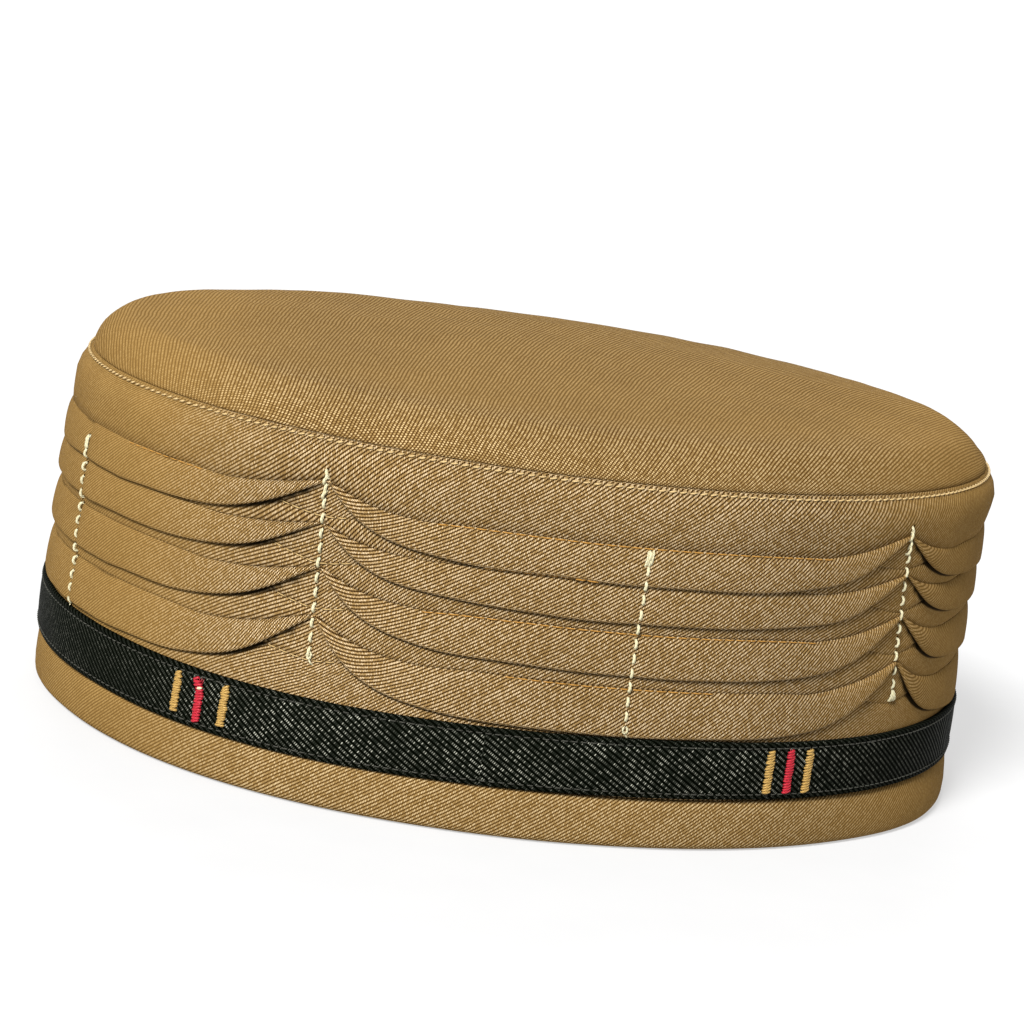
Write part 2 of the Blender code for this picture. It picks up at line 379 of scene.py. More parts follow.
# %% [markdown]
# A soft cap that has been worn is never quite round. Its foot gives in front at the left, the hem gives at
# the right, the top edge spreads there, and the whole top leans a little. Every point of cloth and
# thread below is placed through the same small bend, so that all the pieces stay together.

# %% The worn shape
Give = namedtuple("Give", "out turn width starts ends")  # how far, where, how wide, and between which heights
FOOT_TURN = -28.0
GIVES = (Give(2.3, FOOT_TURN, 24.0, 6.0, 40.0), Give(1.5, 64.0, 18.0, 2.0, 11.0))
EDGE = Give(1.2, 92.0, 42.0, 50.0, 64.0)
LEAN, LEAN_STARTS, LEAN_ENDS = 1.1, 25.0, 70.0  # how far the top leans to the right, between these heights


def ease(value, start, end):
    """0 up to start, 1 from end on, and a soft rise between them."""
    share = np.clip((value - start) / (end - start), 0.0, 1.0)
    return share * share * (3 - 2 * share)


def apart(angles, middle):
    """Degrees from middle to each angle, from -180 to 180."""
    return (angles - middle + 180.0) % 360.0 - 180.0


def bell(angles, middle, width):
    """1 in the middle, and less and less on both sides of it."""
    return np.exp(-(apart(angles, middle) / width) ** 2)


def at(angles, radii, heights):
    """Places in millimetres from angles in degrees, 0 in front and 90 at the right, radii and heights."""
    give = sum(g.out * bell(angles, g.turn, g.width) * (1.0 - ease(heights, g.starts, g.ends)) for g in GIVES)
    give = give + EDGE.out * bell(angles, EDGE.turn, EDGE.width) * ease(heights, EDGE.starts, EDGE.ends)
    radii = radii + give * np.clip(radii / WALL_RADIUS, 0.0, 1.0) ** 3
    turn, lean = np.radians(angles), LEAN * ease(heights, LEAN_STARTS, LEAN_ENDS)
    parts = radii * np.sin(turn) + lean, -radii * np.cos(turn), heights
    return np.stack(np.broadcast_arrays(*parts), axis=-1)


def turn_for(length, radius=WALL_RADIUS):
    """The degrees that a length takes up round the cap."""
    return math.degrees(length / radius)


print("the foot gives", GIVES[0].out, "mm at", FOOT_TURN, "degrees")

# %% [markdown]
# Folded cloth is lofted: a row of points down the cap at one angle, and the same row again a little further
# round. The helper takes all rows as one block of numbers and joins neighbours with four-sided faces.
# Each face keeps its own cloth coordinates, which lets the count of threads run on round the whole cap.

# %% Helper for lofted cloth


def make_piece(name, points, faces, cloth, material):
    """Points are in millimetres. cloth has a place on the cloth for each corner of each face."""
    mesh = bpy.data.meshes.new(name)
    mesh.from_pydata(np.asarray(points) * MM, [], faces)
    mesh.uv_layers.new(name="cloth").data.foreach_set("uv", np.asarray(cloth, dtype=np.float32).ravel())
    mesh.materials.append(material)
    mesh.shade_smooth()
    print(f"{name}: {len(mesh.polygons)} faces")
    return put_in_scene(name, mesh)


def loft(name, points, cloth, material, shade=None):
    """Joins rows of points all the way round. cloth has one row and one point more than points."""
    rows, steps = points.shape[:2]
    row, step = np.meshgrid(np.arange(rows), np.arange(steps), indexing="ij")
    corners = [(row, step), (row, step + 1), (row + 1, step + 1), (row + 1, step)]
    faces = np.stack([(a % rows) * steps + b % steps for a, b in corners], axis=-1).reshape(-1, 4)
    cloth = np.stack([cloth[a, b] for a, b in corners], axis=2)
    piece = make_piece(name, points.reshape(-1, 3), faces.tolist(), cloth, material)
    if shade is not None:
        values = piece.data.attributes.new("shade", "FLOAT", "POINT").data
        values.foreach_set("value", shade.astype(np.float32).ravel())
    piece.data.validate()
    return piece


def path_lengths(path):
    """How far along a path each of its points lies."""
    return np.concatenate([[0.0], np.cumsum(np.linalg.norm(np.diff(path, axis=0), axis=1))])


print("once round a square of 1 mm is", path_lengths([(0, 0), (1, 0), (1, 1), (0, 1), (0, 0)])[-1], "mm")

# %% [markdown]
# The wall's four tucks are flaps of doubled cloth, each sewn along a level seam. Ten upright rows of heavy
# stitches pin them, by turns down and up, and this makes the waves. Where a flap is pinned down, its fold
# hangs below the seam. Where it is pinned up, the fold is above the seam and the other side of the
# flap shows. In between, the flap rises from its seam to a crease, rolls over there and hangs down.
# Three curves describe all that: fold, crease and seam. Each falls away from the pinned place like a bell.

# %% How the tucks wave
Tuck = namedtuple("Tuck", "name seam fold_down fold_up seam_pinned")
TUCKS = (
    Tuck("top", 54.9, 47.9, 57.6, 51.7),
    Tuck("second", 48.3, 41.0, 50.3, 43.3),
    Tuck("third", 39.3, 31.4, 42.1, 35.2),
    Tuck("bottom", 29.3, 20.5, 33.2, 25.7),
)
Fall = namedtuple("Fall", "half_way power")
FOLD_FALL = (Fall(9.7, 1.35), Fall(6.4, 1.15))  # before and after a pinned place, in millimetres
SEAM_FALL = (Fall(12.0, 1.6), Fall(12.0, 1.6))

# Stitch columns: what shows from the front was measured, the rest is spaced evenly round the back.
FRONT_COLUMNS = (-63.7, -21.5, 15.0, 52.8)
HIDDEN_COLUMNS = 6
COLUMN_STEP = (FRONT_COLUMNS[0] + 360.0 - FRONT_COLUMNS[-1]) / (HIDDEN_COLUMNS + 1)
OUT_OF_SIGHT = 4.0  # the first hidden column lies this much further round, behind the picture's edge
COLUMNS = FRONT_COLUMNS + tuple(FRONT_COLUMNS[-1] + COLUMN_STEP * (n + 1) + (0.0 if n else OUT_OF_SIGHT)
                                for n in range(HIDDEN_COLUMNS))
UP_COLUMNS = COLUMNS[1::2]
# How many degrees each column leans for each millimetre up.
LEANS = (-0.06, -0.045, -0.014, -0.086, 0.0, -0.012, 0.0, -0.012, 0.0, -0.012)
LEAN_PIVOT = 41.0  # the height where a column lies at its own angle


def upright(angles, height):
    """The angles as they would be if the columns stood upright, because the tucks lean with them."""
    return angles - np.interp(angles, COLUMNS, LEANS, period=360.0) * (height - LEAN_PIVOT)


def along_rim(angles, column):
    """How far the angles lie from a column along the wall, in millimetres, from minus to plus."""
    return np.radians(apart(angles, column)) * WALL_RADIUS


def share_left(distance, falls):
    """1 at a pinned place, a half at each side's half_way, and near 0 far from it."""
    before, after = (0.5 ** ((np.abs(distance) / fall.half_way) ** fall.power) for fall in falls)
    return np.where(distance < 0, before, after)


def pull(angles, falls):
    """1 where a column pins the tucks up, and near 0 where one pins them down."""
    return np.minimum(sum(share_left(along_rim(angles, column), falls) for column in UP_COLUMNS), 1.0)


print("columns at", [round(angle) for angle in COLUMNS], "of which every second one pins the tucks up")

# %% [markdown]
# A flap that rolls over stands away from the wall. On the real cap one side of each pinned place gapes and
# the other lies snug. A short table says how far the cloth stands out on each side of the five places
# where the tucks are pinned up. Right under a column of stitches the folds are pressed flat.

# %% How far the flaps gape
Gape = namedtuple("Gape", "before after")
GAPES = (Gape(0.85, 0.25), Gape(0.25, 0.55), Gape(0.8, 0.4), Gape(0.3, 0.8), Gape(0.8, 0.3))
FLAT_OUT = 1.0  # how far a fold stands out where it hangs down
PINNED_OUT = 0.7  # and where a stitch column holds it up
PRESSED_REACH = 1.3  # how far from a stitch column the folds are pressed, in millimetres
PRESSED_SHARES = (0.3, 0.55)  # by what share: where the tucks are pinned down, and up


def gape(angles):
    """How much further than its own thickness a rolled flap stands out."""
    total = np.zeros_like(angles)
    for column, sides in zip(UP_COLUMNS, GAPES):
        distance = along_rim(angles, column)
        lifted = np.clip(share_left(distance, FOLD_FALL), 0.0, 1.0)
        total += np.where(distance < 0, *sides) * np.sin(math.pi * lifted) ** 1.2
    return total


def pressed(angles):
    """By what share tight thread presses the folds flat: most under a column, and nothing beside it."""
    return sum(PRESSED_SHARES[number % 2] * np.exp(-(along_rim(angles, column) / PRESSED_REACH) ** 2)
               for number, column in enumerate(COLUMNS))


print("a flap stands out by up to", FLAT_OUT + max(max(sides) for sides in GAPES), "mm")

# %% [markdown]
# Painted shade marks the slit under each flap and makes the waves read from afar. The painted shade is
# dark and tall where the flap gapes, a thin line where it lies snug, and gone where it is pressed shut.
# A second table gives its darkness on both sides of each pinned place, near by and far off.

# %% Painted shade in the slits under the flaps
SLIT = 0.36  # height of the dark line under a fold that lies snug
SLIT_PER_GAPE = 0.4  # and how much taller it gets for each millimetre that the fold stands off
NEAR_BY, FAR_OFF = 13.0, 28.0  # millimetres from a pinned place
Side = namedtuple("Side", "begins full near far")
SLITS = (  # before and after each pinned place: from where it shows, and how dark it is near by and far off
    (Side(2.2, 3.6, 1.0, 0.3), Side(8.0, 16.0, 0.6, 0.55)),
    (Side(3.0, 12.0, 0.35, 0.55), Side(-1.0, 0.0, 1.0, 0.4)),
    (Side(2.2, 3.6, 1.0, 0.4), Side(6.0, 14.0, 0.7, 0.5)),
    (Side(3.0, 12.0, 0.4, 0.5), Side(-1.0, 0.0, 1.0, 0.4)),
    (Side(2.2, 3.6, 1.0, 0.4), Side(8.0, 16.0, 0.7, 0.3)),
)
Slit = namedtuple("Slit", "height strength")


def slits(angles):
    """How tall and how dark the painted shade in the slit under a fold is."""
    distances = np.array([along_rim(angles, column) for column in UP_COLUMNS])
    nearest, far = np.abs(distances).argmin(axis=0), np.abs(distances).min(axis=0)
    strength = np.zeros_like(angles)
    for number, sides in enumerate(SLITS):
        for side, here in zip(sides, (distances[number] < 0, distances[number] >= 0)):
            level = side.near + (side.far - side.near) * ease(far, NEAR_BY, FAR_OFF)
            level = level * ease(far, side.begins, side.full)
            strength = np.where(here & (nearest == number), level, strength)
    return Slit(SLIT + SLIT_PER_GAPE * gape(angles), strength)


def slit_painted_shade(height, fold, slit):
    """Painted shade under a fold: full just below its edge, none a slit's height further down."""
    return (1.0 - ease((fold - height) / slit.height, 0.7, 1.2)) * slit.strength


dark_at_first = slits(np.array([UP_COLUMNS[0] - 8.0, UP_COLUMNS[0] + 8.0])).strength
print("slits beside the first pinned place are dark by", [round(share, 2) for share in dark_at_first])

# %% [markdown]
# For every angle the fold, crease and seam of each tuck are worked out once. A crease can't rise above
# the fold of the tuck over it, so the creases are held down from the top tuck to the bottom one.
# Sewing by hand leaves small slow waves in every line.

# %% Lines of each tuck
TOP_STITCH = WALL_TOP - 0.8
CREASE_OVER_FOLD = 0.5
SAG = 0.9  # how far a flap's crease sags beside the place where it starts to rise
Waves = namedtuple("Waves", "length size")
FOLD_WAVES, SEAM_WAVES = Waves(14.0, 0.35), Waves(22.0, 0.15)
Lines = namedtuple("Lines", "crease fold seam out lift bow slit press")


def hand(angles, seed, wave, size):
    """Small unevenness from sewing by hand: it varies smoothly round the cap and meets itself."""
    reach = WALL_RADIUS / wave
    return size * np.array([noise.noise(Vector((reach * math.cos(t), reach * math.sin(t), seed)))
                            for t in np.radians(angles)])


def tuck_lines(angles):
    lines = []
    ceiling = np.full_like(angles, TOP_STITCH - 1.0)
    for number, tuck in enumerate(TUCKS):
        here = upright(angles, tuck.seam_pinned + 2.5)
        up, bow, press = pull(here, FOLD_FALL), pull(here, SEAM_FALL), pressed(here)
        width = tuck.seam - tuck.fold_down
        fold = tuck.fold_down + (tuck.fold_up - tuck.fold_down) * up + hand(angles, 3.1 * number, *FOLD_WAVES)
        seam = tuck.seam + (tuck.seam_pinned - tuck.seam) * bow + hand(angles, 40.0 + number, *SEAM_WAVES)
        slack = SAG * (1.0 - up) ** 2 * np.clip(up / 0.04, 0.0, 1.0)
        crease = np.maximum((fold + seam + width) / 2 - slack, seam + 0.05)
        crease = np.maximum(np.minimum(crease, ceiling), fold + CREASE_OVER_FOLD)
        lift = np.clip((crease - seam) / 1.5, 0.0, 1.0)
        out = (FLAT_OUT + (PINNED_OUT - FLAT_OUT) * up + gape(here)) * (1.0 - press)
        lines.append(Lines(crease, fold, seam, out, lift, bow, slits(here), press))
        ceiling = fold + 0.35
    return lines


top_tuck = tuck_lines(np.array([UP_COLUMNS[0], COLUMNS[2]]))[0]
print("top fold pinned up at", round(top_tuck.fold[0], 1), "and down at", round(top_tuck.fold[1], 1), "mm")

# %% [markdown]
# The rows of points stand close together beside the places where the tucks are pinned up, because the
# cloth turns sharply there, and again beside the columns that pin them down.

# %% Rows of points
LEAST_APART = 0.2  # degrees between two rows of points
ROW_SPOTS = (0.0, 0.4, 0.9, 1.5, 2.2, 3.0, 3.9, 4.9, 6.0, 7.2, 8.5, 9.9, 11.4, 13.0, 14.7, 16.5, 18.5, 20.7,
             23.0, 25.5, 28.3, 31.3, 34.5, 38.0, 41.5, 45.0, 48.5, 52.0)  # millimetres from a pinned place
DOWN_SPOTS = (-2.4, -1.5, -0.8, 0.0, 0.8, 1.5, 2.4)


def row_angles():
    first = UP_COLUMNS[0]
    wanted = set()
    for column, after in zip(UP_COLUMNS, (*UP_COLUMNS[1:], first + 360.0)):
        half = (after - column) / 2
        turns = [turn_for(spot) for spot in ROW_SPOTS if spot < math.radians(half) * WALL_RADIUS - 0.5]
        wanted |= {column + turn for turn in turns} | {after - turn for turn in turns[1:]} | {column + half}
    beside_down = [column + turn_for(spot) for column in COLUMNS[::2] for spot in DOWN_SPOTS]
    wanted |= {first + (angle - first) % 360.0 for angle in beside_down}
    kept = []
    for angle in sorted(round(angle, 4) for angle in wanted):
        if not kept or angle - kept[-1] > LEAST_APART:
            kept.append(angle)
    return np.array(kept)


angles = row_angles()
print(len(angles), "rows of points round the cap")

# %% [markdown]
# Each row is a section of the wall, from the seam under the crown down to the foot and back up the inside.
# It is written as a list of stretches, and each stretch is a few shares from 0 to 1 that run between two
# of the lines above. Beside the shape, each point gets its place on the flat cloth and its painted shade.

# %% Section of the wall
LEAN_IN = 2.3
LEAN_START = 60.5
BEHIND_FOLD = (0.35, 0.1)  # millimetres up from the fold's edge, for points hidden behind it
IN_SLIT = (0.3, 0.6, 0.9, 1.25)  # shares of the slit's height down from the fold's edge


def lean_in(height):
    """The top of the wall bends inwards to its seam with the crown."""
    return LEAN_IN * np.clip((height - LEAN_START) / (WALL_TOP - LEAN_START), 0.0, 1.1) ** 1.6


class Section:
    """Collects the wall's points row by row: radius, height, place on the cloth, and painted shade."""

    def __init__(self, angles):
        self.rim = np.radians(angles) * WALL_RADIUS
        self.parts = []

    def add(self, radius, height, down, along=None, shade=0.0):
        one = np.ones_like(self.rim)
        radius = radius - lean_in(height * one)
        along = self.rim if along is None else along
        self.parts.append([part * one for part in (radius, height, along, down, shade)])

    def arrays(self):
        return [np.stack(column, axis=1) for column in zip(*self.parts)]


def add_zone(section, top, bottom, down_top, down_bottom, bottom_line, puff, fold, slit, steps=6):
    """Cloth between two tucks. It starts behind the fold over it and runs down to bottom_line, which is
    the seam behind the next flap. Points lie close together in the painted shade of the slit under the fold."""
    heights = [top]
    for wanted in [fold + up for up in BEHIND_FOLD] + [fold - share * slit.height for share in IN_SLIT]:
        heights.append(np.clip(wanted, bottom, heights[-1]))
    first = heights[-1]
    heights += [first + (bottom - first) * share for share in np.linspace(0.0, 1.0, steps)[1:]]
    for height in heights:
        share = (top - height) / np.maximum(top - bottom, 0.1)
        down = down_top + (down_bottom - down_top) * (top - height) / np.maximum(top - bottom_line, 0.5)
        swell = puff * np.sin(math.pi * np.clip(share, 0.0, 1.0)) ** 0.8
        section.add(WALL_RADIUS + swell, height, down, shade=slit_painted_shade(height, fold, slit))


print("the wall's top bends in by", round(float(lean_in(WALL_TOP)), 1), "mm")

# %% [markdown]
# A flap is drawn from its crease over the rolled outer side and round the fold, up into the pocket behind
# it, and down the side that shows where the flap is pinned up. The cloth on a rolled flap turns with its
# fold, so its place on the cloth is counted along the fold and square to it. The crease, the fold's
# underside, the pocket and the seam get painted shade.

# %% Section of a flap
CLOTH_DOUBLE = 0.9
FOLD_ROUND = 0.42
FOLD_TURNS_CLOTH = 0.65  # the cloth on a flap turns less than its fold, because its crease hardly turns
POCKET = 3.0
ROLL = np.radians((4, 16, 28, 40, 52, 63, 73, 82, 90))  # from the crease to the flap's outermost line
HALF_ROUND = np.radians((30, 60, 90, 120, 150, 180))


def add_flap(section, lines, down_seam, width):
    crease, fold, seam, out, lift, _, slit, press = lines
    # How dark the painted shade is on the parts hidden under the flap.
    hidden_shade = 0.4 + 0.6 * slit.strength
    tilt = np.arctan(FOLD_TURNS_CLOTH * np.gradient(fold, section.rim))
    longer = (1 / np.cos(tilt) - 1)[1:] * np.diff(section.rim)
    fold_path = section.rim + np.concatenate([[0.0], np.cumsum(longer)])
    down_fold = down_seam + width
    edge = np.minimum(FOLD_ROUND, 0.45 * (crease - fold))
    # Painted shade in the crease.
    section.add(WALL_RADIUS - 0.25 - 0.3 * lift, crease - 0.25, down_seam, shade=0.55 + 0.3 * lift)
    for turn in ROLL:
        height = crease - (crease - fold - edge) * (1 - np.cos(turn))
        radius = WALL_RADIUS - 0.2 + (out + 0.2) * np.sin(turn) ** (1.3 - 0.35 * lift)
        above = height - fold
        along = fold_path + above * np.sin(tilt) * np.cos(tilt)
        # Painted shade where the roll leaves the crease.
        dark = 0.35 * max(0.0, 1 - turn / ROLL[1])
        section.add(radius, height, down_fold - above * np.cos(tilt), along, shade=dark)
    for turn in HALF_ROUND:
        radius = WALL_RADIUS + out - edge + edge * np.cos(turn)
        height = fold + edge - edge * np.sin(turn)
        # Painted shade on the fold's underside.
        dark = max(0.0, 0.6 * (turn - 1.4)) * hidden_shade
        section.add(radius, height, down_fold + edge * turn, fold_path, shade=dark)

    pocket = np.maximum(seam, fold + np.minimum(POCKET, 0.6 * (crease - fold)))
    pocket = np.minimum(pocket, crease - 0.45 * (crease - fold) - 0.05)
    pocket = np.maximum(pocket, fold + edge + 0.02)
    doubled = CLOTH_DOUBLE * (1.0 - press)
    under = WALL_RADIUS + out - 2 * edge
    back = WALL_RADIUS + doubled * ease(pocket - seam, 0.0, 1.4) + 0.15
    # Painted shade inside the pocket.
    for share in (0.5, 1.0):
        height = fold + edge + (pocket - fold - edge) * share
        radius = under + (np.minimum(back, under) - under) * share
        section.add(radius, height, down_fold + 2.0 * share, fold_path, shade=0.9 * hidden_shade)
    down_end = down_seam + 2 * width
    # Painted shade of the slit on the cloth under the fold.
    for share in (0.0, 0.25, 0.5, 0.75, 0.9, 1.0):
        height = np.minimum(pocket - 0.05, seam + np.maximum(pocket - seam, 0.0) * (1 - share))
        rise = doubled * ease(height - seam, 0.0, 1.4)
        radius = WALL_RADIUS + np.minimum(rise, np.maximum(out - 2 * edge - 0.12, 0.0))
        section.add(radius, height, down_end - (height - seam), shade=slit_painted_shade(height, fold, slit))
    # Painted shade at the seam.
    dark = np.maximum(slit_painted_shade(seam - 0.15, fold, slit), 0.3)
    section.add(WALL_RADIUS - 0.12, seam - 0.15, down_end + 0.15, shade=dark)
    return down_end


print("the roll and the fold of a flap take", len(ROLL) + len(HALF_ROUND), "points of a row")

# %% [markdown]
# Now the whole wall, tuck by tuck. The ribs of the twill bend where the cloth was dragged down by the seams,
# more than the seams themselves do, because the cloth gives on the slant. A deeper bow in the count of
# threads shows that drag, and slow ripples keep the wall from looking pressed from tin.

# %% Side wall
BOW_OF_THE_WEAVE = 1.6
HIGH_ABOVE = 9.0  # a fold so far over the wall's top throws no slit
RIPPLE = 0.22
# How far outwards the wall's upper lip goes, and how far above the wall's top.
LIP = ((-1.9, -0.2), (-1.5, -0.17), (-0.9, -0.15), (-0.3, -0.15), (-0.1, -0.26))


def wall_rows(angles):
    section = Section(angles)
    lines = tuck_lines(angles)
    slit = lines[0].slit
    fold = np.full_like(angles, WALL_TOP + HIGH_ABOVE)
    for number, (out, above) in enumerate(LIP):
        section.add(WALL_RADIUS + out, WALL_TOP + above, 0.5 * number - 2.4)
    # Painted shade along the line of the top stitches.
    section.add(WALL_RADIUS - 0.14, TOP_STITCH, 0.0, shade=0.15)
    top, level, down_here = np.full_like(angles, TOP_STITCH - 0.35), TOP_STITCH, 0.35
    for tuck, line in zip(TUCKS, lines):
        dragged = line.seam + (tuck.seam_pinned - tuck.seam) * line.bow * (BOW_OF_THE_WEAVE - 1)
        down_seam = down_here + level - tuck.seam
        zone_end = np.minimum(line.crease, top - 0.1)
        puff = np.minimum(0.3, 0.06 * (top - zone_end))
        add_zone(section, top, zone_end, down_here, down_seam, dragged, puff, fold, slit)
        down_here = add_flap(section, line, down_seam, tuck.seam - tuck.fold_down) + 0.3
        top, level, fold, slit = line.seam - 0.3, tuck.seam, line.fold, line.slit
    foot, down_foot = np.full_like(angles, WALL_BOTTOM), down_here + level - WALL_BOTTOM
    add_zone(section, top, foot + 5.0, down_here, down_foot, foot, 0.25, fold, slit, 8)
    section.add(WALL_RADIUS, foot, down_foot)
    for share in (0.0, 0.08, 0.25, 0.5, 0.75, 0.93, 1.0):
        height = WALL_BOTTOM + (WALL_TOP - WALL_BOTTOM) * share
        section.add(WALL_INSIDE - 0.8 * ease(share, 0.85, 1.0), height, 300.0 + height)
    return section


def add_wall():
    radius, height, along, down, shade = wall_rows(angles).arrays()
    ripple = np.array([[RIPPLE * noise.noise(Vector((a / 11.0, h / 9.0, 5.0))) for a, h in zip(*row)]
                       for row in zip(along, height)])
    outside = np.clip((radius - WALL_INSIDE) / 1.2, 0.0, 1.0)
    points = at(angles[:, None], radius + ripple * outside, height)
    cloth = np.stack([along, down], axis=-1)
    cloth = np.concatenate([cloth, cloth[:, :1]], axis=1)
    cloth = np.concatenate([cloth, cloth[:1] + (ROUND, 0.0)], axis=0)
    return loft("pleated_wall", points, cloth, tan_twill, shade)


wall = add_wall()
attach(wall, "root")
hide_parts("side_wall")

# %% [markdown]
# The crown is one round panel of the same twill, pressed over a block so that it has a soft shoulder. It is
# turned from a short profile: a low dome, the shoulder, and a tuck under to the seam.

# %% Outline of the crown
CROWN_FOOT = WALL_RADIUS - LEAN_IN - 0.15
SHOULDER_WIDTH = 7.2
SHOULDER_RISE = 6.5
SHOULDER_POWER = 1.35  # 1 is a circle's quarter, more is a flatter slope
DOME_RISE = 4.5
CROWN_THICKNESS = 1.6
LEAST_RADIUS = 0.02
SEAM_EDGE = ((0.0, -0.26), (-0.12, -0.4), (-0.9, -0.38))  # out from the crown's foot, above its bottom


def crown_outline():
    """The outer side from the middle out over the shoulder to the seam, and the inner side back again."""
    edge = CROWN_FOOT - SHOULDER_WIDTH
    top = CROWN_BOTTOM + SHOULDER_RISE
    shares = (0.0, 0.001, 0.003, *np.linspace(0.04, 0.98, 25))
    outside = [(max(edge * share, LEAST_RADIUS), top + DOME_RISE * (1 - share**2)) for share in shares]
    outside += [(edge + SHOULDER_WIDTH * math.cos(turn) ** SHOULDER_POWER,
                 CROWN_BOTTOM + SHOULDER_RISE * math.sin(turn) ** SHOULDER_POWER)
                for turn in np.radians(np.linspace(84, 4, 13))]
    outside += [(CROWN_FOOT + out, CROWN_BOTTOM + above) for out, above in SEAM_EDGE]
    outside = np.array(outside)
    ahead = np.gradient(outside, axis=0)
    ahead /= np.hypot(*ahead.T)[:, None]
    inside = outside - np.abs(ahead[:, ::-1]) * CROWN_THICKNESS
    inside[:, 0] = np.maximum(inside[:, 0], LEAST_RADIUS)
    return outside, inside[-2::-1]


print("the crown's outer side has", len(crown_outline()[0]), "points")

# %% [markdown]
# The panel's threads run straight from front to back, so its cloth coordinates lie flat across it and
# wrap over the roll. The block stretched the ribs apart, and they turn aside over the shoulder, where
# the flat panel was forced down. A little slow noise keeps the dome from looking turned on a lathe.

# %% Crown
CROWN_ROWS = 320
CROWN_STRETCH = 1.36  # how far the block stretched the panel's ribs apart
RIB_LEAN = 0.134  # how far the panel's ribs drift to the right for each millimetre that they run back
RIB_FAN = 0.0022  # and how much more they drift for each millimetre further to the right
RIB_TURN = 1.1  # how far they turn aside over the shoulder
RIB_TURN_RIGHT = 0.64  # and how much more of that there is at the right than at the left
RIB_TURN_FAR_LEFT = -1.0  # at the very left they turn the other way
HIGHER_AT_LEFT = 0.9
HIGHER_IN_FRONT = 0.6
GATHERS_APART, GATHERS = WALL_RADIUS / 60, 0.0012  # small gathers in its edge, as a share of its radius


def crown_points(turned, outline):
    """The turned outline, with the unevenness of a real panel."""
    radius, height = (np.tile(part, (len(turned), 1)) for part in outline.T)
    points = at(turned[:, None], radius, height)
    soft = np.array([0.5 * noise.noise(Vector(p) / 34.0) + 0.16 * noise.noise(Vector(p) / 9.0)
                     for p in points.reshape(-1, 3)]).reshape(radius.shape)
    edge = ease(radius - CROWN_FOOT + SHOULDER_WIDTH, 0.0, 5.0)
    gathers = hand(turned, 9.0, GATHERS_APART, GATHERS)
    lean = (HIGHER_AT_LEFT * -points[..., 0] - HIGHER_IN_FRONT * points[..., 1]) / CROWN_RADIUS
    points[..., 2] += soft * (1 - edge) + lean * ease(height - CROWN_BOTTOM, 0.0, 3.0)
    points[..., :2] *= (1 + gathers[:, None] * edge)[..., None]
    return points


def crown_cloth(turned, outline, outer):
    """The place of each point on the flat panel. The inner side goes back the way that the outer came."""
    path = outline[0, 0] + path_lengths(outline)
    path[outer:] = 2 * path[outer - 1] - path[outer:]
    around = np.radians(np.append(turned, 360.0))[:, None]
    path, plan = np.append(path, path[0]), np.append(outline[:, 0], outline[0, 0])
    right, back = plan * np.sin(around), -path * np.cos(around)
    turn = RIB_TURN + RIB_TURN_RIGHT * np.sin(around)
    turn = turn + (RIB_TURN_FAR_LEFT - turn) * ease(-np.sin(around), 0.5, 1.0)
    over_ribs = (right - RIB_LEAN * back - RIB_FAN * right * back + turn * (path - plan)) / CROWN_STRETCH
    slope = math.atan2(THREAD_ACROSS, THREAD_DOWN)
    along = over_ribs * math.cos(slope) + back * math.sin(slope)
    down = over_ribs * math.sin(slope) - back * math.cos(slope)
    return np.stack([along, down], axis=-1) + 400.0


def add_crown():
    outside, inside = crown_outline()
    outline = np.concatenate([outside, inside])
    turned = np.linspace(0.0, 360.0, CROWN_ROWS, endpoint=False)
    cloth = crown_cloth(turned, outline, len(outside))
    return loft("crown_panel", crown_points(turned, outline), cloth, pressed_twill)


crown = add_crown()
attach(crown, "root")
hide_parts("crown")

# %% [markdown]
# Rings such as the hem strip and the ribbon have one outline all the way round. A helper turns an outline
# and counts the cloth along it. The ribbon wasn't sewn on quite level: it dips at the left in front, and
# rises a little to the right of the middle.

# %% Helper for rings
Dip = namedtuple("Dip", "down turn width")
RIBBON_DIPS = (Dip(0.75, FOOT_TURN, 30.0), Dip(-0.45, 22.0, 22.0))
RING_WAVES = 25.0  # length of the slow waves in a ring, in millimetres


def ribbon_dip(angles):
    """How far the ribbon was sewn on too low, in millimetres."""
    return sum(dip.down * bell(angles, dip.turn, dip.width) for dip in RIBBON_DIPS)


def ring(name, outline, material, uneven, seed, dips=False, rows=360):
    """Turns an outline of (radius, height), which runs down its outer side first, about the cap's axis."""
    outline = np.array(outline)
    down = path_lengths(np.concatenate([outline, outline[:1]]))
    turned = np.linspace(0.0, 360.0, rows, endpoint=False)
    radius = outline[:, 0] + hand(turned, seed, RING_WAVES, uneven)[:, None]
    height = np.tile(outline[:, 1], (rows, 1)) - (ribbon_dip(turned)[:, None] if dips else 0.0)
    points = at(turned[:, None], radius, height)
    along = np.radians(np.append(turned, 360.0))[:, None] * WALL_RADIUS
    cloth = np.stack(np.broadcast_arrays(along, down), axis=-1)
    return loft(name, points, cloth, material)


print("the ribbon dips by", round(float(ribbon_dip(FOOT_TURN)), 2), "mm at", FOOT_TURN, "degrees")

# %% [markdown]
# The hem is a strip of the same twill folded in two round the opening. Its lower edge is the fold, so it is
# fully round, and the cloth swells a little above it. The upper edges are hidden by the ribbon.

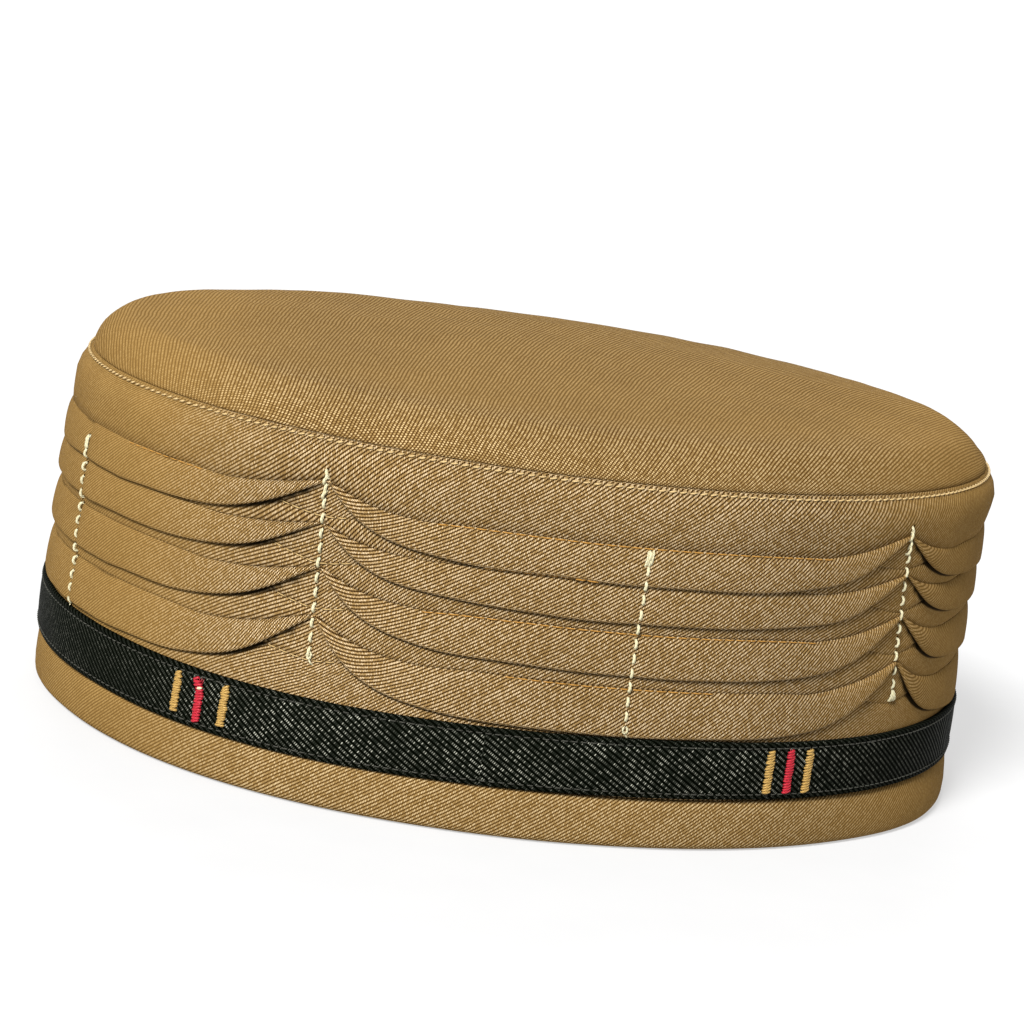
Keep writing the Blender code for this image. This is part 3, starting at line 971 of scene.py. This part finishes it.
# %% Hem strip
HEM_THICKNESS = 2.6
hem_fold = HEM_THICKNESS / 2
hem_outside = ((-0.5, HEM_TOP + 0.1), (-0.12, HEM_TOP - 0.9), (0.05, 5.5), (0.1, 3.2))
hem_outline = [(HEM_RADIUS + out, height) for out, height in hem_outside]
hem_outline += [(HEM_RADIUS - hem_fold * (1 - math.cos(turn)), hem_fold * (1 + math.sin(turn)))
                for turn in np.radians(np.linspace(0, -180, 9))]
hem_outline += [(HEM_RADIUS - HEM_THICKNESS, 4.5), (HEM_RADIUS - HEM_THICKNESS, HEM_TOP + 0.1)]
hem = ring("twill_hem", hem_outline, hem_twill, uneven=0.25, seed=2.0)
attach(hem, "root")
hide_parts("hem_strip")

# %% [markdown]
# The ribbon is black and woven with bright slanting ribs that lean the other way from the cloth's. Along its
# edges runs a smoother border where it is sewn on. Single floats get painted glints: a near-white colour,
# mixed in with luck for each float, standing in for the lamps' reflection in a hard smooth yarn. The
# painted glints are fewer in patches, and fewer still at the sides, where hands have rubbed it.

# %% Weave of the ribbon
RIBBON_DARK = colour(1, 2, 0)
RIBBON_YARN = colour(27, 30, 24)
PAINTED_RIBBON_GLINT = colour(206, 206, 188)
RIBBON_RIB = 0.89  # from one slanting rib to the next
RIBBON_SLANT = math.radians(35.0)
RIBBON_FLOAT = 0.39  # length of one float along its rib
BORDER = 1.0


def ribbon_weave():
    bench = Bench("black_ribbon_weave")
    across, down = bench.split(bench.cloth())
    cos, sin = math.cos(RIBBON_SLANT), math.sin(RIBBON_SLANT)
    over = across * (sin / RIBBON_RIB) - down * (cos / RIBBON_RIB)
    number = bench.floor(over)
    ahead = across * (cos / RIBBON_FLOAT) + down * (sin / RIBBON_FLOAT) + bench.random(number, 3.0) * 0.6
    luck = bench.random(number, bench.floor(ahead))
    rib = bench.ramp(bench.off_whole(over), 0.08, 0.42)
    in_float = bench.ramp(bench.off_whole(ahead), 0.05, 0.4)
    half = (RIBBON_TOP - RIBBON_BOTTOM) / 2
    middle, border = abs(down - (half + 0.3)), half - BORDER
    groove = bench.ramp(abs(middle - border), 0.02, 0.22, 0.25, 1.0)
    raised, inner = (bench.ramp(middle, border + 0.1, border - 0.1, low, 1.0) for low in (0.7, 0.25))
    height = rib * (in_float * 0.55 + 0.45) * raised * groove
    patch = bench.ramp(bench.noise(bench.place(), 110.0), 0.36, 0.62, 0.45, 1.0)
    # Fewer painted glints at the rubbed sides.
    painted_glint_share = bench.ramp(bench.rubbed_less_highlight(), 0.0, 1.0, 0.62, 0.12)
    painted_glint = luck ** 2.3 * (rib * in_float) ** 2.5 * inner * patch * painted_glint_share
    painted = bench.mix(painted_glint, bench.mix(height, RIBBON_DARK, RIBBON_YARN), PAINTED_RIBBON_GLINT)
    return bench.finish(painted, height, 0.00009, (0.7, 0.34), 0.005)


black_ribbon = ribbon_weave()
print("the ribbon's ribs are", RIBBON_RIB, "mm apart")

# %% [markdown]
# The ribbon's outline is nearly the same above and below: a rounded edge, the flat border, the groove where
# the stitches pull it down, and the raised middle.

# %% Ribbon
# How far outwards from the ribbon's radius, and how far in from its upper or lower edge.
TOP_EDGE, BOTTOM_EDGE = ((-0.5, 0.0), (-0.16, 0.12)), ((-0.16, 0.1), (-0.5, -0.05))
TO_MIDDLE = (
    (-0.06, 0.4 * BORDER), (-0.08, 0.8 * BORDER), (-0.16, BORDER), (-0.04, BORDER + 0.3), (0.04, 4.0),
)
RIBBON_INSIDE = RIBBON_RADIUS - RIBBON_THICKNESS
upper, lower = TOP_EDGE + TO_MIDDLE, TO_MIDDLE[::-1] + BOTTOM_EDGE
ribbon_outline = [(RIBBON_RADIUS + out, RIBBON_TOP - inward) for out, inward in upper]
ribbon_outline += [(RIBBON_RADIUS + out, RIBBON_BOTTOM + inward) for out, inward in lower]
ribbon_outline += [(RIBBON_INSIDE, RIBBON_BOTTOM), (RIBBON_INSIDE, RIBBON_TOP)]
ribbon = ring("woven_ribbon", ribbon_outline, black_ribbon, uneven=0.2, seed=6.0, dips=True)
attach(ribbon, "root")
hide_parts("ribbon")

# %% [markdown]
# All sewing is real thread here: thin tubes along the path of each stitch. A skein collects the tubes and
# makes one mesh of them. A heavy stitch is two or three plies that wind round each other.

# %% Helper for thread
END, NEXT_TO_END = 0.4, 0.82  # how thick a strand is there, as a share of its thickness
PLY = 0.56  # a ply's thickness as a share of the whole stitch's
FINE_STEP = 0.22  # millimetres from point to point along a ply


def unit(vectors):
    return vectors / np.linalg.norm(vectors, axis=1)[:, None]


class Skein:
    """Collects strands of thread as tubes and makes one piece of them."""

    def __init__(self):
        self.points, self.faces, self.cloth = [], [], []
        self.count = 0

    def strand(self, path, thickness, sides=6):
        """A tube along a path in millimetres, with thin round ends."""
        path = np.asarray(path, dtype=float)
        steps = len(path)
        ahead = unit(np.gradient(path, axis=0))
        side = np.cross(ahead, (0.0, 0.13, 1.0))
        weak = np.linalg.norm(side, axis=1) < 0.2
        side[weak] = np.cross(ahead[weak], (1.0, 0.0, 0.0))
        for n in range(1, steps):
            side[n] = side[n - 1] - ahead[n] * np.dot(side[n - 1], ahead[n])
        side = unit(side)
        other = np.cross(ahead, side)
        taper = np.ones(steps)
        if steps > 5:
            taper[1] = taper[-2] = NEXT_TO_END
        taper[0] = taper[-1] = END
        turns = np.linspace(0.0, 2 * math.pi, sides, endpoint=False)[None, :, None]
        ring_of = side[:, None] * np.cos(turns) + other[:, None] * np.sin(turns)
        self.points.append((path[:, None] + ring_of * (thickness / 2 * taper)[:, None, None]).reshape(-1, 3))
        self.add_faces(path_lengths(path), steps, sides)

    def add_faces(self, lengths, steps, sides):
        start = self.count
        for n in range(steps - 1):
            for s in range(sides):
                a, b, t = start + n * sides, start + (n + 1) * sides, (s + 1) % sides
                self.faces.append((a + s, a + t, b + t, b + s))
                (here, on), (near, far) = (s / sides, (s + 1) / sides), lengths[n:n + 2]
                self.cloth += [(here, near), (on, near), (on, far), (here, far)]
        last = start + (steps - 1) * sides
        self.faces += [tuple(range(start, start + sides))[::-1], tuple(range(last, last + sides))]
        self.cloth += [(0.5, 0.0)] * sides + [(0.5, lengths[-1])] * sides
        self.count += steps * sides

    def twist(self, path, thickness, plies=2, turn=1.2, phase=0.0):
        """Plies that wind round the path. turn is the length of one full winding."""
        path = np.asarray(path, dtype=float)
        lengths = path_lengths(path)
        fine = np.linspace(0.0, lengths[-1], max(6, int(lengths[-1] / FINE_STEP)))
        path = np.stack([np.interp(fine, lengths, path[:, axis]) for axis in range(3)], axis=-1)
        ahead = unit(np.gradient(path, axis=0))
        side = unit(np.cross(ahead, unit(path * (1.0, 1.0, 0.0))))
        out = np.cross(side, ahead)
        for ply in range(plies):
            turns = (2 * math.pi * (fine / turn + ply / plies) + phase)[:, None]
            offset = side * np.cos(turns) + out * np.sin(turns)
            self.strand(path + offset * thickness / 4, thickness * PLY)

    def piece(self, name, material, slot):
        made = make_piece(name, np.concatenate(self.points), self.faces, self.cloth, material)
        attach(made, "root")
        return made


print("a skein is ready")

# %% [markdown]
# A stitch lies on the outermost cloth under it. This helper finds how far out the wall's surface is at one
# angle and height, by looking through the section there for the outermost crossing.

# %% Surface of the wall
known_sections = {}


def surface(angle, height):
    """The radius of the wall's outer surface at this angle and height."""
    key = round(angle, 2)
    if key not in known_sections:
        near = np.array([angle - 0.2, angle, angle + 0.2])
        radius, heights = wall_rows(near).arrays()[:2]
        known_sections[key] = radius[1], heights[1]
    radius, heights = known_sections[key]
    crossing = (heights[:-1] - height) * (heights[1:] - height) <= 0.0
    if not crossing.any():
        return WALL_RADIUS
    span = np.where(np.abs(np.diff(heights)) < 1e-6, 1.0, np.diff(heights))
    share = np.clip((height - heights[:-1]) / span, 0.0, 1.0)
    return float((radius[:-1] + share * np.diff(radius))[crossing].max())


print("wall surface over the first pinned place", round(surface(UP_COLUMNS[0], 57.8), 2), "mm")

# %% [markdown]
# The columns are heavy cream thread. Each stitch comes out of one needle hole and goes into the next, pulled
# tight enough to flatten the folds under it. It bridges small dips and never sinks into the cloth.

# %% One heavy stitch
STITCH_SHARES = (0.0, 0.1, 0.25, 0.42, 0.58, 0.75, 0.9, 1.0)
INTO_THE_CLOTH = 0.5  # how deep a stitch's two ends go


def even_surface(angle, height):
    """The wall's surface, evened out over a stitch's length, because tight thread flattens the folds."""
    return sum(surface(angle, height + step) for step in (-3.2, -1.6, 0.0, 1.6, 3.2)) / 5


def stitch_path(angle, top, length, lean=0.0, lift=0.5, side=0.0):
    """Straight from its upper needle hole to its lower one, proud of the cloth. side shifts it sideways."""
    spots = []
    for share in STITCH_SHARES:
        here, height = angle + turn_for(side + lean * (share - 0.5)), top - length * share
        spots.append((share, here, height, surface(here, height)))
    first, last = even_surface(angle, top), even_surface(angle, top - length)
    path = []
    for share, here, height, cloth in spots:
        arch = 1 - abs(2 * share - 1) ** 3
        out = max(first + (last - first) * share + lift * arch, cloth + 0.1 * arch)
        path.append(at(here, out - (0.0 if 0.0 < share < 1.0 else INTO_THE_CLOTH), height))
    return path


def needle_hole(skein, angle, height, side):
    """Painted shade: a dark strand in the hole that a thick needle leaves beside a stitch's upper end."""
    path = []
    for share in (0.0, 0.3, 0.7, 1.0):
        here, level = angle + turn_for(side - 0.15 * share), height + 0.35 - 0.5 * share
        path.append(at(here, surface(here, level) + 0.01, level))
    skein.strand(path, 0.26)


print("a heavy stitch runs through", len(STITCH_SHARES), "points")

# %% [markdown]
# The columns end in knots. Most have a small open loop at the foot, and two of those that pin the tucks up
# have a fan of three short stitches there. Over the top of a column that pins the tucks down lies an
# oval bar tack.

# %% Knots
LOOP_WIDE, LOOP_TALL = 0.42, 0.62  # half a loop's width and height


def loop_knot(skein, foot, bottom):
    """A small open loop with a thread's end beside it."""
    loop = []
    for turn in np.radians(np.linspace(100, 440, 15)):
        here, level = foot + turn_for(LOOP_WIDE * math.cos(turn)), bottom + 0.1 + LOOP_TALL * math.sin(turn)
        loop.append(at(here, surface(here, level) + 0.32, level))
    skein.twist(loop, 0.42, turn=1.3)
    skein.twist(stitch_path(foot, bottom - 0.5, 1.0, lean=0.9, side=0.35, lift=0.3), 0.34)


def fan_knot(skein, foot, bottom):
    """Three short stitches which spread like a fan."""
    for lean, side, turn in ((-0.85, -0.42, 0.0), (0.0, 0.0, 2.0), (0.85, 0.42, 4.0)):
        knot = stitch_path(foot, bottom + 1.5, 2.3, lean=lean, side=side, lift=0.35 + 0.05 * turn)
        skein.twist(knot, 0.5, phase=turn)


def oval_tack(skein, column, top):
    """Close upright stitches side by side."""
    for number in range(4):
        start = top + 0.25 * (number % 2)
        side = -0.48 + 0.32 * number
        skein.twist(stitch_path(column, start, 2.9, lean=-0.25, side=side, lift=0.42), 0.44, phase=number)


print("three kinds of knot")

# %% [markdown]
# Most columns lean a little, and their stitches differ in length, because they were sewn by hand. Where the
# tucks are pinned up, the first stitches are doubled and the topmost one slants. The leftmost column in front
# starts and ends lower than its fellows.

# %% Cream stitch columns
Sewn = namedtuple("Sewn", "length thickness pitch")
SEWN = (Sewn(1.6, 0.56, 2.6), Sewn(1.6, 0.62, 2.68), Sewn(1.65, 0.58, 2.68), Sewn(1.8, 0.5, 2.66))  # by turns
DOWN_REACH, UP_REACH = (54.2, 21.8), (60.0, 26.6)  # top and bottom
LATER_START, LATER_END = 2.0, 1.3  # the first column starts and ends this much lower
STITCH_TURN = 2.2  # millimetres along a stitch for one winding of its three plies
TOP_SLANT = 0.6
DOUBLED_REACH = 2.8
sewing = random.Random(11)


def column_angle(number, height):
    return COLUMNS[number] + LEANS[number] * (height - LEAN_PIVOT)


def cream_columns(skein, holes):
    for number in range(len(COLUMNS)):
        up = number % 2 == 1
        top, bottom = UP_REACH if up else DOWN_REACH
        top, bottom = (top, bottom) if number else (top - LATER_START, bottom - LATER_END)
        sewn = SEWN[number % len(SEWN)]
        height = top
        while height > bottom + 0.5 * sewn.pitch:
            angle = column_angle(number, height)
            stray = sewing.uniform(-0.04, 0.04)
            slant = sewing.uniform(0.0, 0.12) + (TOP_SLANT if up and height == top else 0.0)
            phase = sewing.uniform(0.0, 6.0)
            path = stitch_path(angle, height, sewn.length, slant, side=stray)
            skein.twist(path, sewn.thickness, 3, STITCH_TURN, phase)
            needle_hole(holes, angle, height, stray + 0.22)
            if up and height > top - DOUBLED_REACH:
                path = stitch_path(angle, height - 1.1, sewn.length, -0.5, lift=0.6, side=stray - 0.12)
                skein.twist(path, sewn.thickness, 3, STITCH_TURN, phase + 2.0)
            height -= sewn.pitch + sewing.uniform(-0.1, 0.1)
        knot = fan_knot if number % 4 == 3 else loop_knot
        knot(skein, column_angle(number, bottom), bottom)
        if not up:
            oval_tack(skein, column_angle(number, top), top)


cream_skein, hole_shade_skein = Skein(), Skein()
cream_columns(cream_skein, hole_shade_skein)
cream_skein.piece("cream_stitch_columns", cream_thread, "gold_thread")
# Dark strands laid as painted shade in the needle holes.
hole_shade_skein.piece("needle_hole_shade_strands", hole_shade_thread, "tan_twill")

# %% [markdown]
# The tucks themselves are sewn with a thin orange-gold thread. It shows where a flap hangs down, along the
# crease at its top, and again where the flap is pinned up, as a paler line across the pinned place.
# The stitches follow the seam's curve with tiny gaps, and where the flap rolls over they are hidden.

# %% Thread along the tucks
TUCK_STITCH = 2.3
TUCK_THREAD = 0.25
TUCK_LIFT = np.array((-0.1, 0.14, 0.2, 0.2, 0.14, -0.1))
AT_SEAM = 0.45  # the crease counts as lying at the seam up to this height over it
PINNED_REACH = (8.0, 0.0, 6.0, 0.0, 8.0)  # degrees beside each pinned place where the seam's thread shows
Shown = namedtuple("Shown", "tuck first last")
SHOWN = (
    Shown(0, -55.0, -38.0), Shown(0, -9.0, 39.0), Shown(1, -4.0, 10.0), Shown(2, -9.0, 39.0),
    Shown(3, 0.0, 27.0), Shown(0, 150.0, 180.0), Shown(1, 155.0, 172.0), Shown(2, 148.0, 178.0),
    Shown(0, 215.0, 240.0), Shown(2, 220.0, 245.0),
)


def crease_shows(number, angle):
    """Whether a hanging flap's thread shows at this angle, along the crease."""
    line = tuck_lines(np.array([angle]))[number]
    listed = any(shown.tuck == number and shown.first <= angle <= shown.last for shown in SHOWN)
    return listed and line.crease[0] - line.seam[0] < AT_SEAM


def seam_shows(number, angle):
    """Whether the thread at the foot of a pinned flap shows at this angle."""
    line = tuck_lines(np.array([angle]))[number]
    away = [abs(apart(angle, column)) for column in UP_COLUMNS]
    return min(away) < PINNED_REACH[away.index(min(away))] and line.fold[0] > line.seam[0] - 0.2


def tuck_stitches(skein, shows, height_of):
    """shows says where the thread is seen, and height_of how high it lies on a tuck's lines."""
    step = turn_for(TUCK_STITCH)
    for number in range(len(TUCKS)):
        for start in np.arange(COLUMNS[0], COLUMNS[0] + 360.0, step):
            if shows(number, start) and shows(number, start + step):
                spots = np.linspace(start, start + 0.94 * step, 6)
                heights = height_of(tuck_lines(spots)[number])
                skein.strand([at(spot, surface(spot, height) + lift, height)
                              for spot, height, lift in zip(spots, heights, TUCK_LIFT)], TUCK_THREAD, 5)


hanging_skein, pinned_skein = Skein(), Skein()
tuck_stitches(hanging_skein, crease_shows, lambda line: line.crease - 0.3)
tuck_stitches(pinned_skein, seam_shows, lambda line: line.seam - 0.05)
hanging_skein.piece("orange_tuck_thread", tuck_thread, "gold_thread")
pinned_skein.piece("pale_tuck_thread", pale_thread, "gold_thread")

# %% [markdown]
# A row of small pale stitches runs round the cap just under the crown. It holds the seam allowance flat.
# The ribbon is sewn on with black thread along both borders.

# %% Rows of small stitches
Row = namedtuple("Row", "pitch length thickness lift slope")
TOP_ROW = Row(1.95, 1.3, 0.36, 0.24, 0.3)
RIBBON_ROW = Row(1.7, 1.2, 0.26, 0.16, 0.0)
WOBBLE = 0.06


def round_stitches(skein, radius, height, row, dips=False):
    """A row of short stitches all the way round. slope is how much each of them climbs."""
    count, reach = round(2 * math.pi * radius / row.pitch), turn_for(row.length, radius)
    arch = ((0.0, -0.15), (0.15, 0.6 * row.lift), (0.5, row.lift), (0.85, 0.6 * row.lift), (1.0, -0.15))
    for number in range(count):
        start = 360.0 * number / count
        tilt = row.slope + sewing.uniform(-WOBBLE, WOBBLE)
        level = height - (ribbon_dip(start) if dips else 0.0)
        skein.strand([at(start + reach * share, radius + rise, level + tilt * (share - 0.5))
                      for share, rise in arch], row.thickness)
    return count


top_skein, edge_skein = Skein(), Skein()
top_radius = WALL_RADIUS - 0.03 - lean_in(TOP_STITCH)
print(round_stitches(top_skein, top_radius, TOP_STITCH, TOP_ROW), "top stitches")
top_skein.piece("top_stitches", rim_thread, "gold_thread")
for height in (RIBBON_TOP - BORDER, RIBBON_BOTTOM + BORDER):
    round_stitches(edge_skein, RIBBON_RADIUS - 0.12, height, RIBBON_ROW, dips=True)
edge_skein.piece("ribbon_edge_stitches", black_thread, "black_ribbon")

# %% [markdown]
# Each embroidered bar is a satin stitch: one thread wound to and fro over a narrow strip, turn beside turn.
# Every turn is a small arch over the ribbon with its own slight tilt, which gives the bar its ridges and
# its uneven sides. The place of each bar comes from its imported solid. In the first group the red bar bends
# aside at its top, and a white thread end is caught under it.

# %% Embroidered bars
BAR_TURNS = 16
BAR_THREAD = 0.56
BAR_WIDTH = 1.95
BAR_ARCH, BAR_SUNK = 0.5, 0.12  # how high a turn arches, and how deep its ends go into the ribbon
BAR_TILT = 0.18
FIRST_GROUP = (-60.0, -20.0)  # the angles between which it lies
FIRST_GROUP_ASIDE = 1.3  # it was sewn this many degrees further to the right
FIRST_GOLD_SHORTER = 0.6
BEND_STARTS, BEND = 0.72, 4.2  # the share of its height from which the crooked bar bends, and its slope there


def satin_turn(skein, angle, height, reach, shift, tilt):
    """One turn of the thread: an arch across the bar."""
    path = []
    for turn in np.radians(np.linspace(0, 180, 9)):
        here = angle + turn_for(shift - reach * math.cos(turn), RIBBON_RADIUS)
        out = RIBBON_RADIUS - BAR_SUNK + BAR_ARCH * math.sin(turn) ** 0.5
        path.append(at(here, out, height - tilt * math.cos(turn)))
    skein.strand(path, BAR_THREAD, 7)


def loose_end(skein, angle, end, side, stray):
    """A thin thread end that sticks out over the top of a bar."""
    place = angle + turn_for(side, RIBBON_RADIUS)
    aside = place + turn_for(stray, RIBBON_RADIUS)
    spots = ((place, 0.2, end - 1.0), (place, 0.3, end - 0.4), (aside, 0.2, end))
    skein.strand([at(here, RIBBON_RADIUS + out, height) for here, out, height in spots], 0.2, 5)


def white_thread_end(angle, top):
    skein = Skein()
    spots = [at(angle - 0.4 + 0.25 * step, RIBBON_RADIUS + 0.45, top - 2.6 + 0.1 * step) for step in range(4)]
    skein.strand(spots, 0.6)
    skein.piece("white_thread_end", cream_thread, "red_thread")


def satin_bar(node):
    low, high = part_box(node)
    middle, bottom, top = (low + high) / 2, low.z / MM, high.z / MM
    angle = math.degrees(math.atan2(middle.x, -middle.y))
    colour_name = node.split("_")[0]
    first_group = FIRST_GROUP[0] < angle < FIRST_GROUP[1]
    crooked = first_group and colour_name == "red"
    angle += FIRST_GROUP_ASIDE if first_group else 0.0
    bottom += FIRST_GOLD_SHORTER if first_group and not crooked else 0.0
    dip = float(ribbon_dip(angle))
    skein = Skein()
    for number in range(BAR_TURNS):
        share = number / (BAR_TURNS - 1)
        tilt = BAR_TILT + sewing.uniform(-0.14, 0.14)
        reach = (BAR_WIDTH / 2 - 0.2) * sewing.uniform(0.84, 1.12) * (0.75 if share > 0.9 else 1.0)
        shift = sewing.uniform(-0.08, 0.08) - (0.1 if share > 0.9 else 0.0)
        shift -= BEND * max(0.0, share - BEND_STARTS) if crooked else 0.0
        satin_turn(skein, angle, bottom + 0.25 + (top - bottom - 0.5) * share - dip, reach, shift, tilt)
    for side in (-0.4, 0.0, 0.4):
        end = top - dip + sewing.uniform(0.0, 0.3)
        loose_end(skein, angle, end, side, sewing.uniform(-0.25, 0.25))
    if crooked:
        white_thread_end(angle, top)
    material = gold_thread if colour_name == "gold" else red_thread
    made = skein.piece(f"satin_{node}", material, f"{colour_name}_thread")
    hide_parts(node)


bar_nodes = [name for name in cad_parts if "_bar_" in name]
for name in bar_nodes:
    satin_bar(name)
print(len(bar_nodes), "bars sewn")

# %% [markdown]
# The floor is a plain pale sheet, as white as paper and lit a little from within like a photographer's
# table, so that only a soft shadow tells where the cap rests.

# %% Floor
FLOOR_REACH = 30000.0
FLOOR_GLOW = 0.52
FLOOR_GREYS = (0.25, 0.25, 0.25, 1.0), (0.27, 0.27, 0.27, 1.0)
FLOOR_BELOW = 0.0002  # metres under the cap, so that the two never lie in one plane


def add_floor():
    bench = Bench("pale_floor")
    grain = bench.noise(bench.place(), 60.0, 3.0)
    painted = bench.mix(grain, *FLOOR_GREYS)
    bench.shader.inputs["Emission Color"].default_value = WHITE
    bench.shader.inputs["Emission Strength"].default_value = FLOOR_GLOW
    corners = ((-1, -1), (1, -1), (1, 1), (-1, 1))
    points = [(x * FLOOR_REACH, y * FLOOR_REACH, 0.0) for x, y in corners]
    pale = bench.finish(painted, grain, 0.00002, (0.9, 0.9), 0.0)
    floor = make_piece("floor", points, [(0, 1, 2, 3)], corners, pale)
    floor.location.z = -FLOOR_BELOW
    return floor


floor = add_floor()
